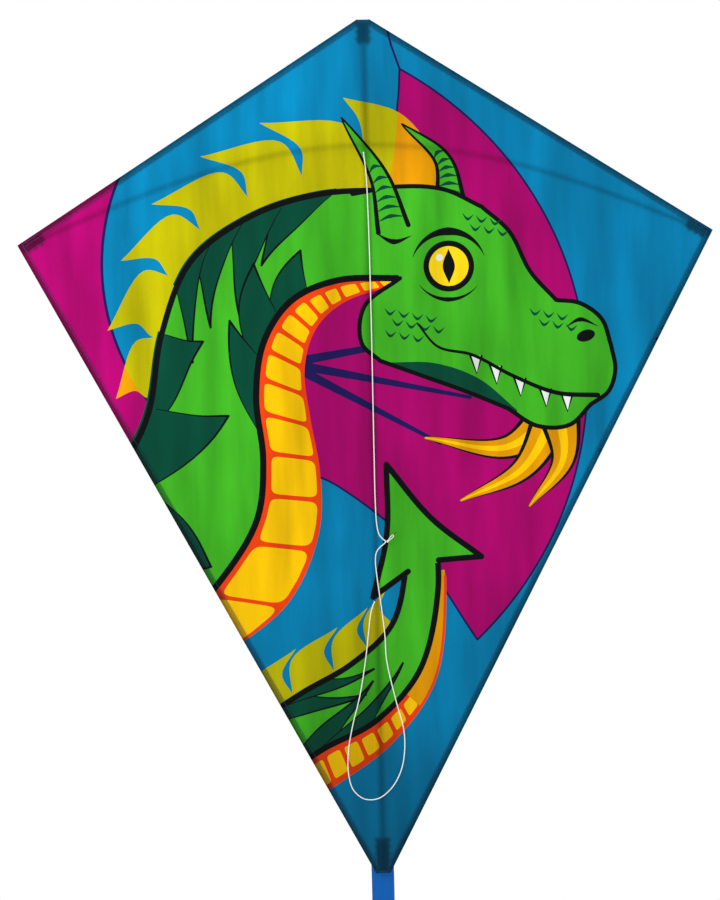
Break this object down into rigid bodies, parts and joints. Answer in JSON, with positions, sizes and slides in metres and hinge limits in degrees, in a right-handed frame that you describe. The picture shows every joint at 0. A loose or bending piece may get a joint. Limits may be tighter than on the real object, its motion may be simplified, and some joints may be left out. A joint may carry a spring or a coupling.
{
  "type": "diamond kite",
  "caption": "Diamond-shaped fabric kite with a printed sail, spine and bowed cross spar, two-point bridle and rolled ribbon tail.",
  "frame": {"origin": "middle of the flat pad on the back of the fitting where the spine and the cross spar meet", "axes": "+Z along the spine towards the nose, +X towards the right wing tip as seen facing the printed side, +Y out of the back of the kite; the printed side faces -Y"},
  "size_m": [0.762, 0.0345, 1.0309],
  "materials": {
    "printed_cloth": "thin ripstop polyester with a bright print, slightly translucent",
    "hem_cloth": "the same cloth folded double and stitched",
    "pocket_cloth": "several layers of stitched reinforcement cloth",
    "rod": "smooth fibreglass rod, satin",
    "cap": "soft vinyl end cap",
    "fitting": "moulded nylon",
    "line": "twisted white polyester line",
    "ring": "coppery metal ring",
    "ribbon": "thin blue ribbon cloth",
    "band": "springy tan plastic band"
  },
  "bodies": {
    "frame": {"sail_centre": "printed_cloth", "nose_left_hem": "hem_cloth", "foot_left_hem": "hem_cloth", "nose_right_hem": "hem_cloth", "foot_right_hem": "hem_cloth", "nose_pocket": "pocket_cloth", "tail_pocket": "pocket_cloth", "spine_rod": "rod", "spar_centre": "rod", "spine_top_cap": "cap", "spine_foot_cap": "cap", "cross_fitting": "fitting", "upper_bridle_knot": "line", "lower_bridle_knot": "line", "bridle_line": "line", "tow_knot": "line", "tow_loop": "line", "tow_ring": "ring", "tail_tab": "ribbon"},
    "left_wing": {"sail_left": "printed_cloth", "left_leading_hem": "hem_cloth", "left_trailing_hem": "hem_cloth", "left_tip_pocket": "pocket_cloth", "spar_left": "rod", "spar_left_cap": "cap"},
    "right_wing": {"sail_right": "printed_cloth", "right_leading_hem": "hem_cloth", "right_trailing_hem": "hem_cloth", "right_tip_pocket": "pocket_cloth", "spar_right": "rod", "spar_right_cap": "cap"},
    "tail": {"tail_ribbon": "ribbon", "tail_roll": "ribbon", "tail_band": "band"}
  },
  "joints": [
    {"name": "left_wing_bow", "type": "hinge", "parent": "frame", "child": "left_wing", "pos_m": [-0.07, -0.00484, 0], "axis": [0, 0, -1], "range_deg": [0, 70], "stiffness_Nm_per_rad": 1.3},
    {"name": "right_wing_bow", "type": "hinge", "parent": "frame", "child": "right_wing", "pos_m": [0.07, -0.00484, 0], "axis": [0, 0, 1], "range_deg": [0, 70], "stiffness_Nm_per_rad": 1.3},
    {"name": "tail_swing", "type": "hinge", "parent": "frame", "child": "tail", "pos_m": [0, -0.0036, -0.8065], "axis": [1, 0, 0], "range_deg": [-60, 90]}
  ]
}
